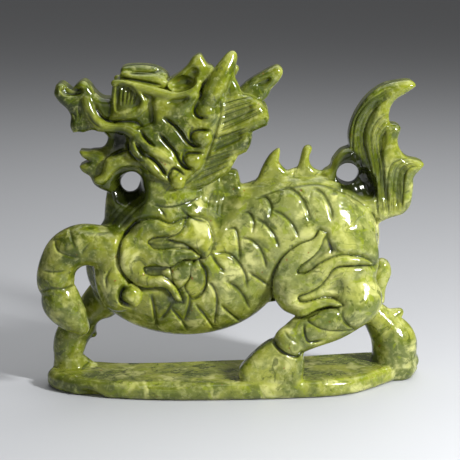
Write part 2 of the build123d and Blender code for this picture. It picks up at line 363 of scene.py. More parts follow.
trunk = ball((-18.5, -3, 52.6), (41, 17.5, 30))
trunk += tube([(8, -0.5, 61, 20.5), (20, 0.7, 62.5, 22), (28, 1, 63.5, 22.6), (39, 2, 63.5, 22)], wide=0.7)
add("trunk", trunk, join=6)
add("trunk", slab([(6, 78), (10, 83.5), (14, 85.8), (19, 87.4), (25, 88.4), (35, 88.4), (42, 87), (48, 84),
    (54, 80), (56, 74), (40, 74), (20, 72)], 0.5, 2.8, 2.2), weld=2.5)
add("neck", tube([(-27, -4, 64, 20), (-27, -4, 75, 18), (-24, -4, 87, 14.5)], wide=0.8), weld=3)
add("neck", slab([(-16, 76), (-14, 90), (-6, 90), (-3.5, 86), (-2, 76)], -3, 6, 4), weld=2)
add("throat_beard", tube([(-40, -4, 60, 9.5), (-41.5, -4, 68, 9.5), (-41.5, -4, 76, 9.3), (-42, -4, 82, 8)],
    wide=0.85), weld=2)

shoulder = ball((-27, -11.5, 57), (17, 9, 19))
haunch = ball((39.5, -8, 56), (21.5, 9.5, 22)) + ball((52, -9, 39), (10.5, 8.5, 11))
haunch += ball((30, -11, 43.5), (12.5, 7.5, 10.5))
for side in SIDES:
    add(side + "_shoulder", on_side(side, shoulder, SHOULDER_MID), weld=2)
for side in SIDES:
    add(side + "_haunch", on_side(side, haunch, HAUNCH_MID), weld=3, join=3)

# ---- legs

raised_leg = tube([(-44, -12, 60, 9), (-53, -13, 62, 7.6), (-60.5, -14, 62.8, 7.4), (-66.8, -14, 59.3, 7.2),
    (-70.4, -14, 52.8, 6.5), (-71, -14, 46.5, 6.9)])
raised_leg += tube([(-46.5, -12, 58, 8), (-47.5, -13, 50, 6.8), (-45.3, -13, 42.5, 7.6)])
add("left_foreleg", raised_leg, weld=2, join=2)
add("left_fore_hoof", tube([(-69.3, -14, 42.5, 6.9), (-68.5, -14, 38.5, 7.7), (-65, -14, 33.5, 6.3),
    (-61.5, -14, 29.3, 3.6), (-60.3, -14, 27.8, 2.4)]), weld=0.3)
add("left_elbow_curl", ball((-41, -18.5, 42.6), (5.6, 3.6, 5.4)), weld=0.4, claim=1.5)
standing_leg = tube([(-40, 3, 45, 9.5), (-51, 4, 37.5, 8.2), (-59.5, 4, 28.5, 6.6), (-66, 4, 20.5, 6.8),
    (-68, 4, 14, 6.3)])
add("right_foreleg", standing_leg + tube([(-62, 4, 23, 5), (-57.6, 4, 21, 1.8)]), weld=2)
standing_hoof = tube([(-68, 4, 11, 6.2), (-67, 4, 5, 8)])
add("right_fore_hoof", standing_hoof + tube([(-66, 4, 7, 7), (-58, 4, 5.5, 3)]), weld=0.5)
carve(tube([(-52, -4, 24, 4), (-52, 14, 24, 4)]), 1.5)

near_shank = tube([(52, -11, 37, 8.5), (42, -13, 31.8, 8.7), (33, -15, 28, 7.7), (27, -16, 24.5, 6.5),
    (24, -16.5, 22, 6)])
add("left_hind_shank", near_shank + ball((24.2, -18, 23), (6.5, 6.8, 6.8)), weld=1.5)
add("left_hind_hoof", slab(seen([(20, 25), (16.5, 24.6), (12.7, 22.2), (8.5, 18.3), (4.2, 13.4),
    (3.4, 10.4), (5.1, 7.5), (9.3, 5.5, 1), (29, 5, 1), (30, 11.9), (30, 17.2), (27, 22)], -20, -16.5),
    -16.5, 6.2, 4.5), weld=1.6)
add("right_haunch", tube([(50, 8, 44, 10), (55, 9, 38, 8.3)]), weld=2)
far_shank = tube([(54, 10, 38, 7.5), (58.5, 11.5, 30.5, 5), (63.4, 12, 24.5, 6.2), (68.8, 12, 17.5, 8.6),
    (70, 12, 14, 9.5)])
far_shank += tube([(66, 12, 24.6, 4.2), (70.2, 12, 27, 2.5), (72.2, 12, 28.4, 1.1)])
add("right_hind_shank", far_shank, weld=1)
far_hoof = tube([(70, 12, 12, 9.4), (69.8, 12, 6, 9.8)]) + tube([(71, 12, 8, 7), (77, 12, 7, 3.5)])
add("right_hind_hoof", far_hoof, weld=0.5)
add("right_hock_tuft", slab(seen([(57, 50), (58.5, 56), (61, 58), (64, 56.5), (65, 52), (63, 46),
    (62.5, 40, 1), (56, 38), (55, 44)], -18, 8), 8, 4.5, 3.5), weld=0.8)

# ---- head

add("skull", head_slab([(-46, 129), (-40, 129.5), (-30, 127), (-20, 127), (-8, 125), (-4, 118), (-6, 105),
    (-12, 94), (-20, 86), (-28, 87), (-36, 93), (-41, 101), (-41.5, 107), (-46, 110), (-47.5, 114),
    (-47.5, 120)], 11.5, 6), weld=1.5)
cheek = slab(seen([(-31, 121.5), (-24, 122.5), (-14, 124), (-7, 122.5), (-4.2, 117), (-4.3, 112),
    (-6.8, 105), (-10, 97.5), (-14, 91.5), (-19, 86.3, 1), (-24, 86.5), (-30, 89.5), (-36, 94.5), (-40, 99),
    (-41, 104), (-37, 109.5), (-31.5, 112)], ON_HEAD, CHEEK_Y - 3), CHEEK_Y, 4.2, 2.6)
add("skull", both(cheek), weld=1)
curls = []
for x, z, r in ((-9.5, 117, 3.7), (-10.9, 106.6, 4.1), (-14.6, 97.3, 3.9), (-20.9, 89.4, 3.3)):
    curls += ball((x, CHEEK_Y - 3.2, z), (r, 2.6, r))
add("skull", both(curls), weld=0.5)

add("snout", head_slab([(-69.7, 126), (-70, 123.5), (-68, 120.5), (-65.2, 118), (-63.6, 115), (-63.9, 111),
    (-62.8, 108.3, 1), (-60.8, 108.6), (-58.5, 108.5), (-55, 109.4), (-52, 108.6), (-47, 108.4),
    (-42, 108.6), (-40, 114), (-44, 120), (-47.5, 122), (-51, 122.5), (-54, 125), (-56, 127.8),
    (-58.6, 129.3), (-61.5, 127.5), (-63, 125.6), (-65, 127), (-67, 128.3), (-69, 127.8)], 8, 3.2), weld=1)
lip = tube([(-57.5, -11.5, 121.5, 1.8), (-56, -12, 117, 1.9), (-53.2, -12.5, 112.8, 2),
    (-49.5, -13, 110.4, 2), (-45, -13.5, 110.2, 2), (-40.5, -14.5, 109.6, 2.1), (-36.8, -16, 107.3, 2.2),
    (-33.2, -17, 103.6, 2.1), (-29, -17.5, 101, 1.8), (-23, -17.8, 98, 1.4)])
eye = tube([(-47, -12.5, 113.6, 1.5), (-43.5, -13.6, 114.2, 1.7), (-39.5, -14.3, 115.3, 1.6),
    (-36, -14.8, 117.2, 1.4), (-34.4, -15, 120.1, 1.2), (-35.8, -15, 123.5, 1.1), (-39, -14.6, 126.3, 1.1)])
eye += ball((-41.5, -11.6, 121.5), (5.5, 3.4, 5.4))
for side in SIDES:
    add(side + "_whisker", on_side(side, lip), weld=0.5, claim=0.4)
    add(side + "_eye", on_side(side, eye), weld=0.5)
brow = tube([(-46, -13, 128.2, 1.4), (-40, -14, 127.6, 1.6), (-34, -15, 126.4, 1.7), (-28, -16, 124.6, 1.8),
    (-23, -16.8, 123.3, 1.9), (-18.5, -17, 123.6, 2), (-15, -16.8, 125.4, 2), (-13, -16, 127.5, 1.8)])
brow += tube([(-26, -16, 115, 1.4), (-21, -17, 117.5, 1.8), (-16.5, -17, 120.6, 1.8),
    (-13, -16.5, 123.5, 1.6)])
add("skull", both(brow), weld=0.8)
add("brow_horn", head_slab([(-43.6, 132), (-42.8, 134.6), (-38, 135.4), (-31, 135), (-27, 133.4),
    (-24.5, 131), (-25, 127), (-30, 126), (-37, 128), (-43, 130)], 7, 2.8), weld=0.6)
brow_roll = tube([(-42.3, -10.5, 130.8, 1.8), (-38, -11.5, 130, 2.2), (-32, -12, 129.4, 2.5),
    (-27, -12, 128.2, 2.2)])
add("brow_horn", both(brow_roll), weld=0.6)
add("left_ear", slab([(-25, 128), (-20, 132.6), (-17, 135.4), (-14.8, 138.6), (-12, 140), (-10.5, 138.3),
    (-9, 135.8), (-6.5, 134.5), (-6, 127), (-14, 124), (-22, 124)], HEAD_MID - 6.5, 5, 2.2), weld=1)
add("right_ear", slab([(-25, 128), (-20, 131.5), (-16.5, 134), (-14.5, 136.5), (-12, 137.6), (-10.5, 136.5),
    (-9, 134.5), (-6.5, 133), (-6, 127), (-14, 124), (-22, 124)], HEAD_MID + 6.5, 5, 2.2), weld=1)
bowls = ball((-19.3, -17, 128.6), (6.2, 5.5, 3.2), (0, -12, 0))
bowls += ball((-15.5, -17, 131.8), (4.2, 3.6, 2.8), (0, -40, 0))
carve(both(bowls), 0.6)
horn = tube([(-9.5, -14.5, 119, 3.4), (-7.5, -15, 123.5, 4.4), (-5, -14.5, 128.5, 4.1),
    (-2, -13.5, 134, 3.2), (0.9, -12, 138.9, 1.9)])
web = slab(seen([(-9.5, 124), (-8.2, 130), (-4.7, 135.2), (-1.5, 139.8), (1, 141.2), (2.3, 139.8),
    (2.2, 136.7), (1.8, 133.6), (2.2, 130.5), (4, 126.7), (4.4, 123.4), (0, 120.5), (-6, 120)], -14,
    HEAD_MID - 7.5), HEAD_MID - 7.5, 3.4, 2.6)
add("left_horn", horn + web, weld=0.8, join=1)
add("right_horn", tube([(-9.5, 7, 117, 3.2), (-7, 7.5, 122, 3.7), (-3, 6.5, 127, 3.3),
    (2, 4.5, 132.2, 1.7)]), weld=0.8)
add("mane_crest", slab([(3, 123), (6, 127.5), (12, 131.5), (18, 134.6), (20.5, 134), (21.2, 131.5),
    (19.3, 128), (16.5, 124.8), (14.7, 121.5), (9, 118)], HEAD_MID, 5.5, 3), weld=1)
upper_lobe = [(-8, 121), (0, 122.8), (6, 123.3), (10.5, 121.8), (14.3, 118.5), (15.7, 114.3), (15, 111, 1),
    (11, 109.3), (6, 107), (-3, 104.5), (-9, 106)]
middle_lobe = [(-9, 108), (0, 110), (8, 110.5), (9, 107), (8.2, 103), (6.7, 100.3, 1), (2, 98), (-6, 95),
    (-12, 98)]
lower_lobe = [(-12, 99), (-3, 101.5), (4.3, 101.3), (3, 98), (1.3, 95), (0, 92.4, 1), (-4, 89.5),
    (-9, 86.6), (-15, 84.6), (-21, 84), (-24, 90)]
lobes = []
for points, depth in ((upper_lobe, 7.2), (middle_lobe, 6.8), (lower_lobe, 6.4)):
    lobes += slab(seen(points, ON_HEAD, HEAD_MID - 6), HEAD_MID - depth, 6.2, 4.5)
add("mane", both(lobes), weld=1, join=0.3)
add("mane", head_slab([(-12, 122), (2, 122), (10, 118), (6, 108), (2, 100), (-4, 92), (-20, 86), (-24, 92),
    (-20, 110)], 8, 3), weld=1)

add("lower_jaw", head_slab([(-41, 101), (-44, 98.5), (-49, 98.5), (-53, 100.3), (-60.7, 100.8, 1),
    (-59.5, 98.5), (-57, 96.8), (-59, 95.6), (-60.7, 94.7, 1), (-59.5, 92.5), (-56.5, 90.5), (-54.5, 87),
    (-50, 84.5), (-44, 83.5), (-36, 84), (-28, 86), (-33, 94)], 7, 3), weld=1)
frill = head_slab([(-41, 101.5), (-45.4, 99.8), (-49.8, 97.4), (-51.1, 94), (-52, 91.2), (-55, 89.3),
    (-54.7, 87.3), (-51.7, 86.6), (-49, 88.6), (-46.4, 92), (-43, 93.8), (-36, 93.5), (-30, 90), (-34, 96),
    (-38, 101)], 4.5, 2.2, HEAD_MID - 6)
add("lower_jaw", both(frill), weld=0.6)
throat = tube([(-40.7, -4, 86.8, 3.4), (-40.8, -8, 86.4, 4.2), (-41.5, -12, 85.4, 6.2),
    (-42, -16, 84.5, 8)])
throat += tube([(-39.7, -4, 88.4, 3.2), (-39.8, -12, 87.6, 4.5)])
carve(both(throat), 2.5)
carve(both(ball((-46.5, -13.5, 104.6), (7, 7, 4.2), (0, 12, 0))), 0.8)
add("lower_jaw", head_slab([(-50, 109), (-49.2, 106), (-50, 103.3), (-52, 101.5), (-55.5, 100.4), (-52, 97),
    (-40, 97), (-38, 109)], 5, 4), weld=2.5)

# ---- spine and tail

add("neck_fin", slab([(-6, 78), (-5, 88), (-2.5, 91.5), (2.4, 91.7), (3.8, 89), (4.5, 86), (7, 83.7),
    (11, 83.5), (10, 78)], -2.5, 4.5, 2.8), weld=2)
add("front_back_fin", slab([(8, 80), (10.6, 86), (13.2, 92.5), (16, 97.3), (19, 99.9), (20.4, 99.8),
    (20.3, 97), (20.2, 94.5), (23, 91.2), (26, 90.8), (26, 82)], 0, 3.2, 2.4), weld=2)
add("rear_back_fin", slab([(25, 82), (26, 90.8), (27.6, 92.5), (28.6, 95.5), (29.3, 98.5), (30.2, 100.6),
    (31.8, 101.4), (33.3, 100.8), (33.4, 99.2), (32.5, 97), (32.5, 94.8), (33.6, 92.6), (36, 91),
    (43, 88.5), (43, 82)], 0.5, 3.2, 2.4), weld=2)
add("tail", slab([(52, 80), (58, 74), (60.5, 69, 1), (66, 71.5), (71, 73.2), (74, 77), (75, 84),
    (75.3, 88.5), (79.2, 93.3), (77, 95.3), (72.5, 96.5), (69.3, 100), (68.3, 104), (69.4, 108.7),
    (67.5, 110.3), (65, 111), (64.8, 116), (67, 120), (72, 123.3), (75.2, 126), (73, 128), (69, 127.9),
    (62, 126.3), (55.5, 121.5), (50.5, 114), (48.2, 106), (48.6, 100.8, 1), (45, 99.3), (42, 95.5),
    (41, 92.5), (38, 90), (40, 86), (48, 83)], TAIL_MID, 7, 3.5), weld=2)
carve(tube([(48, -30, 90, 4.6), (48, 30, 90, 4.6)]), 1.2)
carve(both(ball((53.5, -9, 85.5), (7.5, 8.8, 7), (0, 40, 0)), TAIL_MID), 1)

# the flat underside
stone[:] = np.maximum(stone, -AXES[2][None, None, :])

# ---- flames, and relief drawn in the side view

class Drawing:
    """Relief drawn in one side-view plane, as seen from the viewing point.

    cuts and body hold depths, which are negative where the stone rises; painted_shade holds how much darker
    the stone's colour is painted: painted shade in cuts, trenches and hollows, and darker stone in places.
    """

    def __init__(self, plane, low, high):
        self.plane = plane
        self.cuts, self.body, self.painted_shade = (Flat(low, high, RELIEF_STEP) for layer in range(3))

    def around(self, points, room):
        """The slices around an outline, with the distance to it and what is inside."""
        ring = outline(points)
        box, u, v = self.body.window(ring.min(0) - room, ring.max(0) + room)
        return box, *ring_distance(u, v, ring)

    def darken(self, box, dark):
        self.painted_shade.values[box] = np.maximum(self.painted_shade.values[box], dark)

    def groove(self, points, wide=0.9, deep=0.7, lean=0.0, reach=3.0, painted_shade=1.0):
        """A cut that thins out at its ends; lean sinks the ground to its left, or its right if negative."""
        line = smooth_line(points, FINE_SPAN)
        box, u, v = self.cuts.window(line.min(0) - reach - 1, line.max(0) + reach + 1)
        away, place = line_distance(u, v, line)
        run = np.concatenate([[0], np.cumsum(np.hypot(*np.diff(line, axis=0).T))])
        along = np.interp(place, np.arange(len(run)), run)
        fade = min(2, run[-1] / 3)
        thin = np.clip(0.45 + 0.55 * np.minimum(along, run[-1] - along) / fade, 0, 1)
        cut = deep * thin * np.clip(1 - away / (wide * (0.5 + 0.5 * thin)), 0, 1) ** 0.8
        if lean:
            i = np.clip(np.floor(place).astype(int), 0, len(line) - 2)
            step = line[i + 1] - line[i]
            left = (step[..., 0] * (v - line[i, 1]) - step[..., 1] * (u - line[i, 0])) * np.sign(lean) > 0
            bevel = np.clip(1 - away / reach, 0, 1)
            cut = np.maximum(cut, np.where(left, abs(lean) * thin * bevel ** 1.5, 0))
        self.cuts.values[box] = np.maximum(self.cuts.values[box], cut)
        # the cut is darkened with painted shade along its floor
        self.darken(box, painted_shade * min(1, 0.3 + 0.6 * deep) * thin * np.clip(1.3 - away / (0.6 * wide), 0, 1))

    def comb(self, first, last, count, wide, deep):
        """Hair lines spread evenly between two guides, some stronger than others."""
        a, b = np.array(first, float), np.array(last, float)
        for i in range(count):
            t = (i + 0.5) / count
            strong = 0.75 + 0.25 * math.cos(2.4 * i)
            self.groove(a * (1 - t) + b * t, wide * strong, deep * strong)

    def raised(self, points, rise, rim, trench, wide, dome=0.0):
        """A raised tongue with a round rim and a trench around it."""
        box, away, inside = self.around(points, wide + 1)
        t = np.clip(away / rim, 0, 1)
        height = rise * np.sqrt(1 - (1 - t) ** 2) + dome * np.clip(away / (3 * rim), 0, 1)
        moat = self.body.values[box] + trench * np.clip(1 - away / wide, 0, 1) ** 1.3
        self.body.values[box] = np.where(inside, -height, moat)
        # painted shade in the trench around the tongue, and none on the tongue itself
        self.painted_shade.values[box] *= ~inside
        self.darken(box, 0.75 * np.clip(1.3 - away / (0.4 * wide), 0, 1) * ~inside)

    def sunk(self, points, deep, rim):
        """A hollow with sloping sides."""
        box, away, inside = self.around(points, 1)
        self.body.values[box] += np.where(inside, deep * eased(np.clip(away / rim, 0, 1)), 0)

    def shade(self, points, dark, rim):
        """A patch painted darker, as painted shade in hollows and as darker stone, with soft borders."""
        box, away, inside = self.around(points, rim + 1)
        self.darken(box, dark * eased(np.clip(0.5 + np.where(inside, away, -away) / rim, 0, 1)))

    def place(self, x, y, z):
        """Where points show in the plane."""
        scale = (self.plane - EYE_Y) / (y - EYE_Y)
        return x * scale, EYE_Z + (z - EYE_Z) * scale

    def depth(self, x, y, z):
        """How deep the stone is cut at points, or, where negative, how far it rises."""
        u, v = self.place(x, y, z)
        return self.body.read(u, v) + self.cuts.read(u, v)


flank = Drawing(-18, (-56, 14), (66, 95))
foreleg = Drawing(-12, (-82, 20), (-34, 76))
head = Drawing(-8, (-76, 76), (26, 146))
brush = Drawing(0, (36, 62), (84, 132))

shoulder_flame = [(-18, 74.5, 1), (-21, 73), (-24, 72), (-27, 73), (-30, 74), (-36, 73), (-40, 69.5),
    (-43.5, 65), (-44.5, 58), (-43.5, 53), (-40, 48.5), (-35, 46), (-27, 46), (-24, 43.5), (-22, 40.5),
    (-19.5, 40, 1), (-20, 42), (-22, 46), (-25, 49), (-28, 50.8), (-31, 50.5), (-34, 51.5), (-35, 53.5),
    (-34, 54.5), (-30, 55), (-24, 54.5), (-21, 56), (-18, 57.5), (-14, 57.5), (-12, 58.5, 1), (-13, 59.5),
    (-16, 61.5), (-20, 62), (-24, 62), (-28, 61.5), (-31, 62), (-33, 64), (-33, 65), (-31, 66.5), (-27, 67),
    (-23, 67.5), (-19.5, 70)]
hip_flame = [(36, 69.5, 1), (33.5, 65.8), (28, 63.5), (22, 59), (18.5, 53), (17, 46), (18, 41), (21, 36.5),
    (25, 34.5), (30, 33.8), (35, 36.5), (40, 38), (43, 37.8), (45.5, 38.5, 1), (42, 41), (38, 41.5),
    (34, 40.5), (30, 39.5), (28, 40), (27.5, 41), (28, 42.5), (32, 44), (36, 46.5), (39, 50), (41, 53),
    (44, 54.8), (50, 55.2), (58, 55.5, 1), (55, 57.5), (50, 58.8), (45, 59), (41, 58), (36, 55.5), (33, 53),
    (30, 51.5), (27.5, 51.5), (27, 53), (29, 55.5), (33, 58.5), (36, 62), (37.5, 66), (38.5, 68)]

# smaller leaves that lie around the flames
flank.raised([(-18, 74, 1), (-14, 75), (-9, 73), (-7.5, 68), (-7, 63), (-9, 59), (-11.5, 58.5), (-15, 62),
    (-19, 64.5), (-25, 66, 1), (-20, 69.5)], 0.7, 3, 0.9, 1.6, 0.5)
flank.raised([(-24, 54.5, 1), (-20, 57), (-15.5, 57.5), (-15, 54), (-17, 49), (-20, 46), (-22, 46)], 0.5,
    2.5, 0.8, 1.5, 0.3)
flank.raised([(-13, 57.5, 1), (-10.5, 52), (-10, 47.5), (-12, 43), (-15, 41, 1), (-18, 46), (-16, 50),
    (-15.5, 55)], 0.4, 2, 0.7, 1.4)
flank.raised([(33, 33.5, 1), (38, 36.5), (43, 37), (45, 34), (46.5, 31), (50, 28.5, 1), (43, 28), (37, 29),
    (32, 32)], 0.6, 2.5, 0.7, 1.6, 0.4)
flank.raised(shoulder_flame, 1.5, 2.6, 1.7, 2.6, 0.8)
flank.raised(hip_flame, 1.5, 2.6, 1.7, 2.6, 0.8)
flank.sunk([(-33.2, 64.2, 1), (-31, 62.3), (-27, 62), (-22, 62.6), (-19, 63.8), (-22, 66), (-27, 66.6),
    (-31, 66)], 1.2, 1.6)
flank.sunk([(-35, 53, 1), (-33.5, 51.5), (-30, 51), (-27, 51.5), (-25, 54), (-29, 54.6), (-33, 54.4)], 1.2,
    1.6)
flank.sunk([(27.5, 52, 1), (32, 53), (37, 56.5), (43, 59), (46, 60), (42, 65), (38.5, 68), (37, 64),
    (33, 58)], 1.6, 3)
flank.sunk([(28, 41.5, 1), (31, 40.5), (37, 41.8), (43, 41.5), (48, 44), (48, 50), (42, 52), (37, 46.5),
    (32, 43.5)], 1.2, 5)
flank.groove([(39.5, 66), (40.5, 63), (41, 60)], 1.1, 0.8, 0.4)

# folds under the neck and behind the shoulder, then the scales of the side
for fold in ([(-31, 80), (-25, 79), (-18, 80.5), (-12, 83)], [(-20, 79), (-16, 75), (-10, 73)],
        [(-28.5, 79), (-27, 77), (-26, 75)]):
    flank.groove(fold, 1.0, 1.0, 0.5, 2.6)
for scale in ([(-12.1, 56.8), (-9.6, 52.2), (-10.1, 45.9), (-13.2, 42.3), (-16.2, 41.2)],
        [(-7.6, 59.5), (-5, 55.5), (-2.2, 52.2)], [(7.6, 52.2), (11.4, 49.8), (15.4, 47)],
        [(-9.3, 48.5), (-6.6, 45.9), (-5.3, 40.7), (-6.3, 30.3)],
        [(-1.5, 48.5), (2, 46.4), (5.6, 42.3), (7.6, 37.6)], [(-3.5, 38.6), (0, 35.5), (4.1, 32.1)],
        [(-13.7, 38.6), (-10.1, 34.5), (-6.6, 29.2)], [(-24.3, 38.1), (-20.3, 33.4), (-16.8, 28.2)],
        [(-16.2, 42.8), (-16.7, 37.6), (-18.8, 31.3)], [(-31.7, 42.8), (-30.7, 37.6), (-29.5, 29.2)],
        [(-28.4, 32.9), (-25.9, 35.5), (-23.3, 39.7)]):
    flank.groove(scale, 1.2, 1.4, 0.4, 3.4, 0.62)
for scale in ([(-5.7, 60.1), (-1, 60), (3, 56.8), (6.1, 51.5), (6.8, 46)],
        [(-1.2, 70), (1.8, 70.3), (3.1, 67), (3.7, 61.4), (3.8, 57.3)],
        [(4.8, 76.8), (7.6, 76.5), (9.4, 73), (9, 68.6)],
        [(3.8, 66.5), (8.3, 65.6), (12.1, 62), (14.1, 57), (14.6, 54.2)],
        [(11, 83.1), (14.5, 82.7), (16.5, 78.9), (15.8, 74.8)],
        [(20, 86.5), (24, 86.5), (28, 83.4), (30.5, 78.9), (32.1, 73.8)],
        [(33, 87), (37, 84.5), (40.1, 78.9), (41.1, 73.8)],
        [(16.5, 77.8), (21.1, 75.8), (25.1, 71.7), (27.6, 66.6)],
        [(10, 74.3), (14, 72.2), (17.6, 67.6), (19.6, 62.5)]):
    flank.groove(scale, 1.1, 1.3, 0.4, 3.8, 0.6)
for scratch in ([(25.5, 84.5), (28, 86), (29.5, 83.4)], [(27, 78.9), (29, 81.9), (31, 83.4)],
        [(33, 86.5), (32, 83.4), (31.8, 79.9)], [(49.2, 70.7), (50.7, 73.8), (53.1, 75.8)],
        [(55.6, 77.8), (57.6, 75.3), (58.7, 71.7)], [(10, 66), (17, 60)], [(28, 78), (35, 72)],
        [(14, 79), (20, 74)]):
    flank.groove(scratch, 0.6, 0.6, 0.15, 2.4, 0.6)
flank.groove([(10, 82), (17, 85), (25, 87), (35, 88), (45, 85), (55, 79)], 1.0, 0.6, -0.4, 2.5)

# the near hind leg
flank.groove([(17.6, 24.5), (19, 21.4), (22, 18.7), (27, 16.9), (29.5, 19)], 1.2, 1.2)
flank.groove([(30, 30.6), (30.5, 26.2), (32.2, 23.2), (37.3, 23.8)], 1.0, 1.2, 0.7, 3.5)
for crease in ([(22, 28), (24, 25), (27.5, 22.5)], [(45.5, 37), (46, 33), (48, 30), (51, 28.5)]):
    flank.groove(crease, 0.9, 0.6, 0.3)

# the raised foreleg's creases and the hoof's border
for crease in ([(-65, 69), (-64.5, 66), (-63, 61)], [(-71, 64), (-70, 60), (-66, 58), (-62, 57)],
        [(-76, 51.5), (-72, 51), (-67, 51.5)], [(-57, 63), (-59.5, 60), (-60, 58)]):
    foreleg.groove(crease, 0.9, 0.7, 0.35)
foreleg.groove([(-77.5, 43), (-73, 44), (-68, 44), (-63, 46)], 1.2, 0.8, 0.5)
flank.groove([(-41, 46.2), (-43.6, 45), (-44.3, 42), (-43, 39.8), (-40, 38.3)], 1.9, 2.4)
flank.shade([(-7, 84), (2, 87), (5, 83), (2, 75), (-2, 66), (-6, 62), (-6, 70), (-6, 78)], 0.5, 4)
flank.groove([(-48, 54), (-50, 50), (-50, 46)], 0.9, 0.7, 0.3)

# cheek: three deep hooked cuts, the sockets of the curls, and the flutes beside the eye
for cut in ([(-26.5, 113.5), (-23, 111), (-20, 108), (-17.5, 104.5), (-15, 102.5), (-12.5, 102.3)],
        [(-28.5, 107), (-25, 103), (-22, 99.5), (-20.5, 96), (-18, 93.5), (-15.5, 93)],
        [(-32.5, 98.5), (-29, 95), (-27, 92), (-25.5, 89.5)]):
    head.groove(cut, 1.2, 2.3, -0.6, 3.5)
for hook in ([(-15.5, 109.5), (-16, 106), (-14.5, 103)], [(-18.5, 100), (-19, 96.5), (-17, 93.5)],
        [(-23.5, 92.5), (-25, 90), (-24, 87.5)], [(-13, 120), (-14.3, 116.5), (-12.5, 114), (-9.5, 113.7)],
        [(-16, 104.5), (-15.6, 107.2), (-13.2, 108.6), (-8.5, 108.4)],
        [(-18.5, 97), (-17.5, 99), (-14, 99.3), (-11, 99)],
        [(-25, 91), (-23, 93), (-20.5, 92), (-19, 90.5)]):
    head.groove(hook, 1.1, 1.7)
head.sunk([(-26, 119.5), (-24, 122), (-19, 123.5), (-16, 122.5), (-17, 120), (-22, 118)], 1.2, 2)
head.shade([(-26, 118.5), (-24, 121.5), (-19, 123), (-16, 122), (-17, 119.5), (-22, 117)], 0.45, 3)
head.sunk([(-45.8, 127.3), (-40, 127.1), (-37, 124), (-35.3, 120.5), (-37.5, 117.8), (-41, 116.8),
    (-46.3, 116.2)], 0.9, 0.9)
head.shade([(-45.3, 127.5), (-40, 127.3), (-36.5, 124.5), (-35, 121), (-37, 118.3), (-41.5, 117),
    (-46, 116.3), (-45.8, 122)], 0.62, 2)
for flute in ([(-44.6, 125.5), (-45, 119.5)], [(-42.9, 126), (-43.4, 119)], [(-41, 125.8), (-42, 119)],
        [(-39.2, 125), (-40.7, 119)], [(-37.5, 123.5), (-39.3, 119)]):
    head.groove(flute, 0.6, 0.9, painted_shade=0.7)
for slot in ([(-36, 108.3), (-33.8, 105), (-30.8, 102.3)], [(-38, 103.5), (-36.2, 100.3), (-34, 97.2)],
        [(-34, 99), (-30.5, 96), (-28, 93), (-26, 89.5)]):
    head.groove(slot, 1.2, 2.1)
for cut in ([(-41, 105), (-41, 101), (-38.5, 97.5), (-35, 96)], [(-49, 97.5), (-45, 99.5), (-42.5, 101)],
        [(-44, 130), (-36, 128.6), (-28, 127)]):
    head.groove(cut, 1.1, 1.2, 0.3)
head.groove([(-40, 131.5), (-32, 131.7), (-27, 133)], 1.2, 1.0)
head.groove([(-4.5, 121), (-3.6, 116), (-4.8, 111.5), (-6.7, 105.2), (-8.6, 99.4), (-11.2, 92.4),
    (-15.5, 88.5), (-19, 86)], 1.1, 0.8, -0.6, 3, 0.8)
head.sunk([(-68.5, 125.5), (-68, 123.3), (-66, 122), (-62, 121.8), (-59.3, 123.2), (-58.5, 125.5),
    (-61, 126.5), (-65, 126.5)], 1.4, 1.2)
head.comb([(-3.5, 119.5), (2, 121.2), (8, 122.3)], [(-4.5, 107.5), (3.5, 111), (12.5, 115.5)], 12, 0.6, 1.0)
head.comb([(-5.5, 105.5), (1, 108), (6.5, 109.8)], [(-8.5, 99), (-1.5, 101.8), (6, 105.5)], 7, 0.6, 0.95)
head.comb([(-9.5, 97.5), (-4, 99.3), (2.2, 101.2)], [(-16, 86), (-9, 89), (-1.5, 93)], 10, 0.6, 0.95)
head.sunk([(-3, 120), (4, 121), (8, 120.5), (10, 117), (7, 112.5), (0, 109), (-4, 108), (-4, 114)], 0.8,
    2.5)
head.sunk([(-5, 106.5), (1, 108.5), (5, 108.3), (4.5, 104), (-1, 101), (-7.5, 98.5)], 0.7, 2)
head.sunk([(-8.5, 97.5), (-2, 99.5), (0, 98), (-3, 93.5), (-8, 89), (-14, 86), (-12, 92)], 0.7, 2)
crest_hollow = [(9, 127), (11.6, 129.6), (15.7, 130.8), (17, 129), (15, 126.3), (11.7, 125.6)]
head.sunk(crest_hollow, 1.5, 1.8)
head.shade(crest_hollow, 0.5, 2)
head.shade([(-1, 129), (1.5, 131), (3, 127.5), (6.5, 126), (8, 123.5), (2, 122), (-3, 122.5)], 0.45, 2.5)
for ridge in ([(-66.5, 124), (-62, 123.2), (-58, 124.4)], [(-64.5, 125.5), (-61.5, 124.8), (-59, 125.5)]):
    head.groove(ridge, 0.6, 0.8)
for fold in ([(-61, 118.5), (-60.6, 115), (-61, 112)], [(-64, 116), (-62.5, 115), (-62, 113)],
        [(-57.5, 116), (-55, 112), (-52, 109.5)]):
    head.groove(fold, 0.9, 0.7, 0.3)
head.groove([(-54.5, 119), (-52.5, 115), (-49.5, 112.6), (-44, 112.2), (-38.5, 112), (-35.5, 110)], 1.4,
    1.3)
head.groove([(-31, 119), (-31, 112), (-30.6, 105)], 1.2, 0.5, 0.5, 5)
head.groove([(-13.5, 120), (-11.7, 122.5), (-11.3, 126), (-9, 129)], 1.2, 1.2)

# the pleats of the neck and the hair of the chest
flank.comb([(-7.5, 86), (-9.5, 81), (-10, 76)], [(-1, 85), (-2.5, 80), (-3, 76)], 4, 0.7, 0.45)
flank.comb([(-34, 81.5), (-40.5, 75.5), (-46.5, 68)], [(-36.5, 74.5), (-41, 70.5), (-44.5, 67)], 5, 0.7,
    0.6)
flank.comb([(-37, 82), (-43, 77), (-48, 71)], [(-44, 80.5), (-47, 77), (-48.8, 74)], 3, 0.6, 0.4)
flank.groove([(-36.5, 74.5), (-40, 71), (-43.5, 66.5)], 1.3, 1.0, 0.6)

